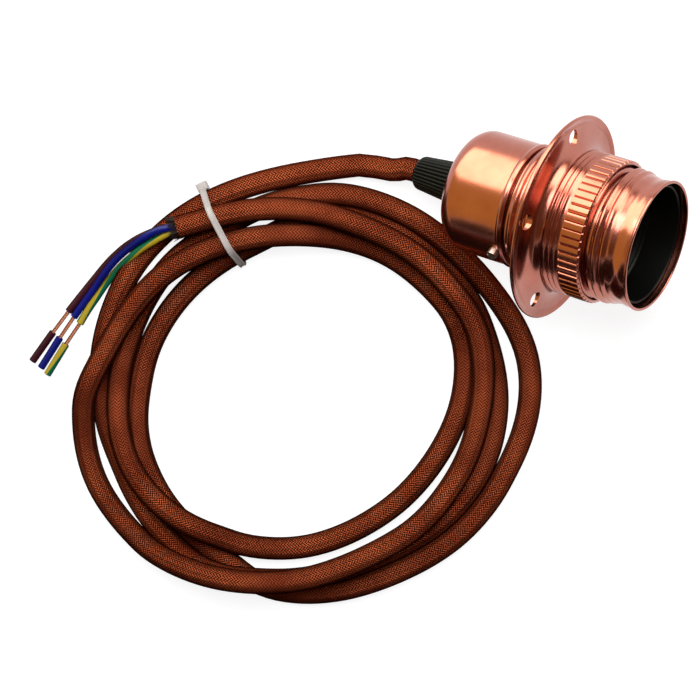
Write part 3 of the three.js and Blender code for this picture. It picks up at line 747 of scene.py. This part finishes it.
# frayed yarn ends that stand out round the cores where the braid is cut
fraySettings = {
    "hairs": 120, "seed": 4, "shortest": 1.0, "longest": 3.6, "thickness": 0.20, "around": 5,
    "closed": -0.25, "open": 0.40, "curl": 0.4, "rootFrom": 2.4, "rootTo": 3.3, "behindCut": 0.6,
    "lowest": 0.3, "taper": 0.55, "colour": (0.016, 0.005, 0.004, 1.0),
}
frayedYarn = makePlastic("frayedYarn", fraySettings["colour"], 0.7)


def makeFray(path, settings):
    chance = random.Random(settings["seed"])
    ways, sides, ups = framesAlong(path)
    way, side, up, end = ways[-1], sides[-1], ups[-1], path[-1]
    skins = []
    for hair in range(settings["hairs"]):
        angle = chance.uniform(0, math.tau)
        radial = side * math.cos(angle) + up * math.sin(angle)
        around = up * math.cos(angle) - side * math.sin(angle)
        length = chance.uniform(settings["shortest"], settings["longest"])
        lean = chance.uniform(settings["closed"], settings["open"])
        curl = chance.uniform(-settings["curl"], settings["curl"])
        root = chance.uniform(settings["rootFrom"], settings["rootTo"])
        start = end + radial * root - way * settings["behindCut"]
        rings = []
        for share in (0, 0.35, 0.7, 1):
            point = start + way * (length * share) + radial * (lean * length * share ** 1.6)
            point = point + around * (curl * length * share ** 2)
            point[2] = max(point[2], settings["lowest"])
            size = settings["thickness"] * (1 - settings["taper"] * share)
            rings.append(circleRing(point, radial, around, size, settings["around"]))
        skins.append(skin(rings))
    return newPiece("frayedBraid", *joinedSkins(skins), frayedYarn, "braid", 60)


cordPieces.append(makeFray(cordPath, fraySettings))


# cable tie: a strap drawn tight round the strands that pass its plane, and a square locking head
tieSettings = {
    "innerEnd": (241, 262, 8), "outerEnd": (202, 187, 8), "past": 5.0, "slack": 0.25, "width": 2.0,
    "thickness": 1.0, "bevel": 0.2, "groove": 0.18, "headSize": (2.7, 3.1, 4.4), "headRim": 0.75,
    "headHollow": 0.5, "headBevel": 0.22, "headGap": 0.35,
}


# the tie's own axes: x outwards across the strands, z up, from the inner end on the floor
def tieAxes(settings):
    inner, outer = fromPhoto(*settings["innerEnd"]), fromPhoto(*settings["outerEnd"])
    across = outer - inner
    turn = math.atan2(across.y, across.x)
    place = Matrix.Translation((inner.x, inner.y, 0)) @ Matrix.Rotation(turn, 4, "Z")
    return place, across.length


def strandsAtTie(path, settings, place, length):
    outward, beside = np.array(place.col[0][:2]), np.array(place.col[1][:2])
    offset = path[:, :2] - np.array(place.translation[:2])
    reach, distance = offset @ outward, offset @ beside
    spots = []
    for index in np.nonzero(np.sign(distance[:-1]) != np.sign(distance[1:]))[0]:
        share = distance[index] / (distance[index] - distance[index + 1])
        spot = reach[index] + share * (reach[index + 1] - reach[index])
        if -settings["past"] < spot < length + settings["past"]:
            spots.append((spot, path[index, 2] + share * (path[index + 1, 2] - path[index, 2])))
    return spots


# the outline of a string pulled tight round a set of points
def hullOf(points):
    points = sorted(set(points))

    def half(ordered):
        chain = []
        for point in ordered:
            while len(chain) > 1:
                (ax, ay), (bx, by) = chain[-2], chain[-1]
                if (bx - ax) * (point[1] - ay) - (by - ay) * (point[0] - ax) > 0:
                    break
                chain.pop()
            chain.append(point)
        return chain[:-1]

    return half(points) + half(points[::-1])


def makeTie(path, settings):
    place, length = tieAxes(settings)
    spots = strandsAtTie(path, settings, place, length)
    print("strands in the tie", len(spots))
    circle = []
    for reach, height in spots:
        for step in range(32):
            angle = math.tau * step / 32
            size = cordSettings["diameter"] / 2 + settings["slack"]
            level = max(height + size * math.sin(angle), 0.05)
            circle.append((round(reach + size * math.cos(angle), 4), round(level, 4)))
    loop = np.array(hullOf(circle))
    closing = np.vstack([loop, loop[:1]])
    line = evenPath(np.column_stack([closing, np.zeros(len(closing))]), 1.2)[:-1, :2]
    ahead = np.roll(line, -1, axis=0) - np.roll(line, 1, axis=0)
    outward = np.column_stack([ahead[:, 1], -ahead[:, 0]])
    outward /= np.linalg.norm(outward, axis=1)[:, None]
    half, thick, bevel = settings["width"] / 2, settings["thickness"], settings["bevel"]
    rightSide = [(half - bevel, 0), (half, bevel), (half, thick - bevel), (half - bevel, thick),
                 (0.62 * half, thick), (0.5 * half, thick - settings["groove"])]
    leftSide = [(-wide, lift) for wide, lift in reversed(rightSide)]
    section = leftSide[-1:] + rightSide + leftSide[:-1]
    rings = []
    for (reach, height), (outX, outZ) in zip(line, outward):
        rings.append([place @ Vector((reach + outX * lift, wide, max(height + outZ * lift, 0.03))) * mm
                      for wide, lift in section])
    strap = newPiece("tieStrap", *skin(rings, closedUp=True), tieNylon, "nylon", 35)
    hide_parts("cable_tie")
    return strap, place, line


# locking head: a block with rounded edges and a shallow hollow in its outer face
def makeTieHead(place, line, settings):
    outer = line[np.argmax(line[:, 0] - 0.3 * line[:, 1])]
    shape = bmesh.new()
    bmesh.ops.create_cube(shape, size=1.0)
    bmesh.ops.scale(shape, vec=settings["headSize"], verts=shape.verts)
    top = [face for face in shape.faces if face.normal.x > 0.9]
    bmesh.ops.inset_region(shape, faces=top, thickness=settings["headRim"], depth=0.0)
    hollow = list({vertex for face in top for vertex in face.verts})
    bmesh.ops.translate(shape, verts=hollow, vec=(-settings["headHollow"], 0, 0))
    bmesh.ops.bevel(shape, geom=list(shape.edges), offset=settings["headBevel"], segments=3, affect="EDGES",
                    profile=0.6)
    high, wide, long = settings["headSize"]
    spot = place @ Vector((outer[0] + high / 2 + settings["headGap"], 0, outer[1]))
    spot.z = max(spot.z, long / 2 + 0.1)
    for vertex in shape.verts:
        vertex.co = (spot + place.to_3x3() @ vertex.co) * mm
    mesh = bpy.data.meshes.new("tieHead")
    shape.to_mesh(mesh)
    shape.free()
    return dressPiece("tieHead", mesh, tieNylon, "nylon", 40)


print("fastening the tie")
strap, tiePlace, tieLine = makeTie(cordPath, tieSettings)
cordPieces += [strap, makeTieHead(tiePlace, tieLine, tieSettings)]

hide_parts("cord_lead", "cord_coil")


# a ridge that climbs one pitch for each turn and fades out at both ends
def threadWave(at, angle, pitch, start, end):
    phase = at / pitch - (angle - math.pi / 2) / math.tau
    fade = min(1, max(0, (at - start) / pitch), max(0, (end - at) / pitch))
    return fade * (0.5 + 0.5 * math.cos(math.tau * phase))


def evenly(start, end, count):
    return [start + (end - start) * step / count for step in range(count + 1)]


# a stretch of a profile with round beads side by side
def beads(start, end, count, radius, height, pitch):
    rise = math.pi / pitch
    return [(at, radius + height * math.sin(rise * (at - start)) ** 2) for at in evenly(start, end, count)]


# cap: a drawn cup with a rounded shoulder and one soft bead at its mouth
capSettings = {
    "wall": 0.9, "hole": 5.3, "beadHeight": 0.35, "beadPitch": 2.1, "beadCount": 1, "edge": 0.15,
    "lip": 0.25, "around": 128,
}


def makeCap(settings):
    radius, shoulder = holderSizes["capRadius"], holderSizes["capShoulder"]
    rear, mouth, wall = holderSizes["capRearAt"], holderSizes["capMouthAt"], settings["wall"]
    edge, lip = settings["edge"], settings["lip"]
    beadsFrom = mouth - settings["beadCount"] * settings["beadPitch"]
    profile = [(rear + edge, settings["hole"]), (rear, settings["hole"] + edge)]
    profile += arcPoints(rear + shoulder, radius - shoulder, shoulder, -90, 0, 16)
    profile += [(at, radius) for at in evenly(rear + shoulder, beadsFrom, 4)[1:-1]]
    profile += beads(beadsFrom, mouth - 0.2, 30, radius, settings["beadHeight"], settings["beadPitch"])
    profile += arcPoints(mouth - lip, radius - lip, lip, 0, 90, 4)[1:] + [(mouth, radius - wall)]
    profile += arcPoints(rear + shoulder, radius - shoulder, shoulder - wall, 0, -90, 12)
    profile.append((rear + wall, settings["hole"]))
    piece = turnPiece("capCup", profile, settings["around"], copper, "copper")
    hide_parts("cap")


# shell: a rolled thread of fine ridges, a slight waist and a rolled lip
shellSettings = {
    "crest": 19.85, "depth": 1.0, "pitch": 2.45, "length": 13.2, "threadEnd": 23.4, "mouth": 30.3,
    "lip": 19.2, "waist": 18.5, "wall": 0.7, "tail": 7.6, "stepRise": 1.2, "roll": 0.45,
    "tailRadius": 17.1, "grooveTo": 18.2, "grooveLong": 2.4, "grooveDeep": 1.3, "ridges": 3,
    "ridgeHeight": 0.65, "ridgesTo": -1.0, "fromCap": 0.3, "around": 160,
}


def makeShell(settings):
    root = settings["crest"] - settings["depth"]
    start, end, mouth = settings["threadEnd"] - settings["length"], settings["threadEnd"], settings["mouth"]
    tail, wall = settings["tailRadius"], settings["wall"]
    stepAt = holderSizes["capMouthAt"] + settings["fromCap"]
    stepEnd = stepAt + settings["stepRise"]
    roll, lip = settings["roll"], settings["lip"] - settings["roll"]
    profile = [(stepAt - settings["tail"], tail - wall), (stepAt - settings["tail"], tail), (stepAt, tail)]
    profile.append((stepEnd, root))
    ridgesFrom, ridgesTo = stepEnd + 0.2, settings["ridgesTo"]
    pitch = (ridgesTo - ridgesFrom) / settings["ridges"]
    profile += beads(ridgesFrom, ridgesTo, 36, root, settings["ridgeHeight"], pitch)
    profile += [(at, root) for at in evenly(start, end, 76)]
    # the waist takes the first four fifths of the way to the lip, and the flare the last 45%
    for share in evenly(0, 1, 12)[1:]:
        waist = (settings["waist"] - root) * math.sin(math.pi * min(share * 1.25, 1.0)) ** 2 * 0.9
        flare = (lip - root) * (max(0.0, share - 0.55) / 0.45) ** 2
        profile.append((end + (mouth - 2.2 * roll - end) * share, root + waist + flare))
    profile += arcPoints(mouth - roll, lip, roll, -60, 150, 12)
    profile += [(mouth - 1.2, lip - wall * 0.55), ((end + mouth) / 2, settings["waist"] - wall)]
    profile += [(end, root - wall), (stepEnd + wall, root - wall), (stepAt + wall, tail - wall)]

    def shape(radius, at, angle):
        if not start <= at <= end or radius <= root - wall / 2:
            return radius
        wave = threadWave(at, angle, settings["pitch"], start, end)
        share = (settings["grooveTo"] - at) / settings["grooveLong"]
        groove = math.sin(math.pi * share) if 0 < share < 1 else 0
        return radius + settings["depth"] * wave ** 0.8 * (1 - groove) - settings["grooveDeep"] * groove

    piece = turnPiece("threadedShell", profile, settings["around"], copper, "copper", shape)
    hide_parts("shell")


# shade ring: flange with a rolled rim and five holes, a beaded neck and a knurled collar
ringSettings = {
    "plate": 0.9, "holeCount": 5, "holeRadius": 2.3, "holeInset": 5.1, "holeStart": 9.0,
    "holeAround": 48, "bore": 20.1, "wall": 0.5, "flareOut": 6.2, "flareLong": 3.5, "neck": 8.8,
    "beadCount": 3, "beadHeight": 0.6, "beadPitch": 1.6, "pressed": 0.22, "collar": 7.0,
    "collarEase": 0.5, "edge": 0.15, "groove": 0.5, "knurlCount": 56, "knurlDepth": 0.55, "samples": 8,
}


def makeShadeRing(settings):
    front = settings["plate"] / 2
    neckRadius = settings["bore"] + settings["wall"]
    neckEnd = settings["neck"] + front
    collarEnd = neckEnd + settings["collar"]
    rim, flange = holderSizes["flangeRimBead"], holderSizes["flangeRadius"]
    inner, pressed, edge = flange - 2.1 * rim, front - settings["pressed"], settings["edge"]
    profile = [(-front, settings["bore"]), (-front, inner)] + arcPoints(0, flange - rim, rim, -55, 55, 12)
    profile += [(front, inner), (pressed, inner - 0.35), (pressed, inner - 0.7), (front, inner - 1.0)]
    for step in range(17):
        angle = math.pi / 2 * step / 16
        flare = settings["flareOut"] * (1 - math.sin(angle))
        profile.append((front + settings["flareLong"] * (1 - math.cos(angle)), neckRadius + flare))
    beadsTo, pitch = neckEnd - settings["groove"], settings["beadPitch"]
    beadsFrom = beadsTo - settings["beadCount"] * pitch
    profile += beads(beadsFrom, beadsTo, 36, neckRadius, settings["beadHeight"], pitch)
    ease = settings["collarEase"]
    profile += [(neckEnd - 0.1, neckRadius - 0.12), (neckEnd, neckRadius)]
    profile += [(neckEnd + 0.9 * ease, neckRadius)]
    profile += [(at, neckRadius) for at in evenly(neckEnd + ease, collarEnd - ease, 6)]
    profile += [(collarEnd - edge, neckRadius), (collarEnd, neckRadius - edge)]
    profile += [(collarEnd, settings["bore"])]

    def shape(radius, at, angle):
        onCollar = neckEnd + 0.95 * ease < at < collarEnd - 0.8 * ease and radius > neckRadius - 0.01
        groove = abs(angle * settings["knurlCount"] / math.tau % 1 - 0.5)
        rib = min(1.0, (0.5 - groove) * settings["samples"] / 1.2)
        return radius + (settings["knurlDepth"] * rib if onCollar else 0)

    around = settings["knurlCount"] * settings["samples"]
    piece = turnPiece("shadeRing", profile, around, copper, "copper", shape)
    drillFlange(piece, settings)
    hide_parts("shade_ring")


def drillFlange(piece, settings):
    shape = bmesh.new()
    circle = holderSizes["flangeRadius"] - settings["holeInset"]
    alongAxis = Matrix.Rotation(math.pi / 2, 4, "Y")
    for hole in range(settings["holeCount"]):
        angle = math.radians(settings["holeStart"] + 360 / settings["holeCount"] * hole)
        spot = Matrix.Translation((0, -circle * math.cos(angle), circle * math.sin(angle)))
        bmesh.ops.create_cone(shape, cap_ends=True, segments=settings["holeAround"],
                              radius1=settings["holeRadius"], radius2=settings["holeRadius"],
                              depth=3 * settings["plate"], matrix=holderPlace @ spot @ alongAxis)
    bmesh.ops.scale(shape, vec=(mm, mm, mm), verts=shape.verts)
    mesh = bpy.data.meshes.new("flangeDrills")
    shape.to_mesh(mesh)
    shape.free()
    drills = addObject("flangeDrills", mesh)
    cutting = piece.modifiers.new("holes", "BOOLEAN")
    cutting.object = drills
    cutting.operation = "DIFFERENCE"
    cutting.solver = "EXACT"
    evaluated = piece.evaluated_get(bpy.context.evaluated_depsgraph_get())
    drilled = bpy.data.meshes.new_from_object(evaluated)
    piece.modifiers.clear()
    piece.data = drilled
    smoothMesh(drilled, 32)
    bpy.data.objects.remove(drills)


# cord grip: a tapered moulding with fine flutes along it and a rounded tip
gripSettings = {
    "baseAt": -33.3, "base": 6.6, "tip": 4.95, "round": 1.9, "bore": 3.8, "nippleBore": 5.3,
    "nippleDeep": 9.7, "edge": 0.2, "flutes": 30, "depth": 0.42,
}


def makeGrip(settings):
    tipAt, start, curve = holderSizes["gripTipAt"], settings["baseAt"], settings["round"]
    base, tip, edge = settings["base"], settings["tip"], settings["edge"]
    bore, nippleAt, nippleBore = settings["bore"], tipAt + settings["nippleDeep"], settings["nippleBore"]

    def radiusAt(at):
        return base + (tip - base) * (start - at) / (start - tipAt)

    profile = [(start, nippleBore), (start, base - edge), (start - edge, base)]
    profile += [(at, radiusAt(at)) for at in evenly(start - 0.7, tipAt + curve, 14)]
    profile += arcPoints(tipAt + curve, tip - curve + edge, curve, -8, -90, 8)
    profile += [(tipAt, bore), (nippleAt, bore), (nippleAt, nippleBore)]

    def shape(radius, at, angle):
        fluted = tipAt + curve * 0.6 < at < start - 0.6 and radius > radiusAt(at) - 0.9
        wave = abs(math.sin(settings["flutes"] * angle / 2))
        return radius - (settings["depth"] * (1 - wave) ** 1.5 if fluted else 0)

    piece = turnPiece("cordGrip", profile, settings["flutes"] * 8, blackPlastic, "black_plastic", shape, 40)
    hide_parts("cord_grip")


# insert: a dark moulding whose thin skirt lines the shell nearly as far as the mouth
insertSettings = {
    "rear": -7.9, "floor": -4.5, "front": 18.5, "skirt": 28.4, "outer": 17.5, "bore": 14.5,
    "rearEdge": 0.4, "skirtEdge": 0.2, "boreEdge": 0.9, "around": 96,
}


def makeInsert(settings):
    rear, floor, front, skirt = settings["rear"], settings["floor"], settings["front"], settings["skirt"]
    outer, bore, axis, around = settings["outer"], settings["bore"], 0.01, settings["around"]
    rearEdge, edge, boreEdge = settings["rearEdge"], settings["skirtEdge"], settings["boreEdge"]
    profile = [(rear, axis), (rear, outer - rearEdge), (rear + rearEdge, outer), (skirt - edge, outer)]
    profile += [(skirt, outer - edge), (skirt, outer - 0.5), (skirt - 0.3, outer - 0.7)]
    profile += [(front + 0.6, outer - 0.8), (front, outer - 1.3), (front, bore + 1.0)]
    profile += [(front - boreEdge, bore), (floor, bore), (floor, axis)]
    piece = turnPiece("insertBody", profile, around, blackPlastic, "black_plastic")
    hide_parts("insert_body")


# screw shell for the lamp: thin sheet with a rounded coarse thread
screwShellSettings = {
    "radius": 14.1, "wall": 0.5, "depth": 1.1, "pitch": 3.62, "start": -4.2, "length": 18.1, "around": 96,
}


def makeScrewShell(settings):
    start, end = settings["start"], settings["start"] + settings["length"]
    inside = settings["radius"] - settings["wall"]
    rows = evenly(start, end, 60)
    profile = [(at, settings["radius"]) for at in rows] + [(at, inside) for at in reversed(rows)]

    def shape(radius, at, angle):
        return radius - settings["depth"] * threadWave(at, angle, settings["pitch"], start, end)

    piece = turnPiece("lampScrewShell", profile, settings["around"], brass, "brass", shape, 60)
    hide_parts("lamp_screw_shell")


print("turning the holder's pieces")
makeCap(capSettings)
makeShell(shellSettings)
makeShadeRing(ringSettings)
makeGrip(gripSettings)
makeInsert(insertSettings)
makeScrewShell(screwShellSettings)

# the small pieces keep their own solids and get their finish here
finishOf = {
    steel: ["cap_lock_screw", "grip_nipple", "grip_lock_nut", "contact_screw", "terminal_screw_live",
            "terminal_screw_neutral", "earth_screw"],
    brass: ["centre_contact", "terminal_live", "terminal_neutral", "earth_tag"],
    brownInsulation: ["lead_live"],
    blueInsulation: ["lead_neutral"],
    earthInsulation: ["lead_earth"],
}
for finish, nodeNames in finishOf.items():
    for nodeName in nodeNames:
        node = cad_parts[nodeName]
        if not node.material_slots:
            node.data.materials.append(finish)
        for materialSlot in node.material_slots:
            materialSlot.material = finish


# floor and light: white where the camera and the reflections see them, and a soft shadow
studio = {
    "floorSize": 6.0, "floorColour": (0.32, 0.32, 0.32, 1.0), "floorGlow": 0.88, "ambient": 0.09,
    "keyPlace": (-0.12, 0.34, 0.80), "keyAim": (-0.03, -0.02, 0.02), "keySize": (0.75, 0.55),
    "keyPower": 8.5,
}


def whiteWhereSeen(tree, strength, dim):
    path = tree.nodes.new("ShaderNodeLightPath").outputs
    seen = plus(tree, path["Is Camera Ray"], path["Is Glossy Ray"])
    seen = plus(tree, seen, path["Is Transmission Ray"], clamp=True)
    return plus(tree, times(tree, seen, strength - dim), dim)


def makeFloor(settings):
    bpy.ops.mesh.primitive_plane_add(size=settings["floorSize"])
    floor = bpy.context.object
    floor.name = "floor"
    material, tree, shader = newMaterial("paperFloor")
    fill(tree, shader, {
        "Base Color": settings["floorColour"],
        "Roughness": 0.9,
        "Specular IOR Level": 0.0,
        "Emission Color": (1.0, 1.0, 1.0, 1.0),
        "Emission Strength": whiteWhereSeen(tree, settings["floorGlow"], 0.0),
    })
    floor.data.materials.append(material)


def makeWorld(settings):
    world = bpy.data.worlds.new("studioWorld")
    world.use_nodes = True
    bpy.context.scene.world = world
    tree = world.node_tree
    background = tree.nodes["Background"].inputs
    background["Color"].default_value = (1.0, 1.0, 1.0, 1.0)
    feed(tree, background["Strength"], whiteWhereSeen(tree, 1.0, settings["ambient"]))


def makeKeyLight(settings):
    data = bpy.data.lights.new("keyLight", "AREA")
    data.shape = "RECTANGLE"
    data.size, data.size_y = settings["keySize"]
    data.energy = settings["keyPower"]
    light = addObject("keyLight", data)
    light.location = settings["keyPlace"]
    way = Vector(settings["keyAim"]) - light.location
    light.rotation_euler = way.to_track_quat("-Z", "Y").to_euler()


# cards round the holder that glow only in reflections, as painted reflections: two bright ones that paint
# highlights and glints, a warm one, and five dim ones that paint darker reflections; for each its place,
# turn in degrees, size, colour and shade
dimRed, amber = (1.0, 0.5, 0.4), (1.0, 0.50, 0.22)
cards = {
    "brightCard": ((-0.60, 0.76, 0.45), (0, 90, 0), (0.90, 1.20), (1.0, 1.0, 0.78), 5.6),
    "warmCard": ((-0.60, -0.30, 0.45), (0, 90, 0), (0.90, 0.92), (1.0, 0.74, 0.20), 0.85),
    "sideCard": ((0.15, -0.80, 0.40), (90, 0, 0), (1.50, 0.80), dimRed, 0.03),
    "slopeCard": ((0.45, 0.68, 0.50), (-50, 0, 0), (1.30, 1.05), (1.0, 0.52, 0.30), 0.45),
    "glintCard": ((0.45, 0.66, 0.483), (-50, 0, 0), (1.30, 0.52), (1.0, 1.0, 0.86), 6.0),
    "roofCard": ((0.25, -0.22, 0.88), (0, 0, 0), (1.70, 1.15), amber, 0.18),
    "frontCard": ((1.10, 0.00, 0.45), (0, 90, 0), (0.80, 1.80), amber, 0.12),
    "floorCard": ((-0.13, -0.26, 0.0004), (0, 0, 0), (0.30, 0.46), dimRed, 0.02),
}


def addCard(name, place, turn, size, colour, shade):
    bpy.ops.mesh.primitive_plane_add(size=1.0, location=place)
    card = bpy.context.object
    card.name = name
    card.scale = (*size, 1.0)
    card.rotation_euler = [math.radians(angle) for angle in turn]
    material, tree, shader = newMaterial(name)
    fill(tree, shader, {
        "Base Color": (0.0, 0.0, 0.0, 1.0),
        "Specular IOR Level": 0.0,
        "Emission Color": (*colour, 1.0),
        "Emission Strength": shade,
    })
    card.data.materials.append(material)
    for ray in ("camera", "diffuse", "shadow", "transmission"):
        setattr(card, f"visible_{ray}", False)


print("setting the studio")
bpy.context.scene.view_settings.view_transform = "Standard"
makeFloor(studio)
makeWorld(studio)
makeKeyLight(studio)
for cardName, card in cards.items():
    addCard(cardName, *card)
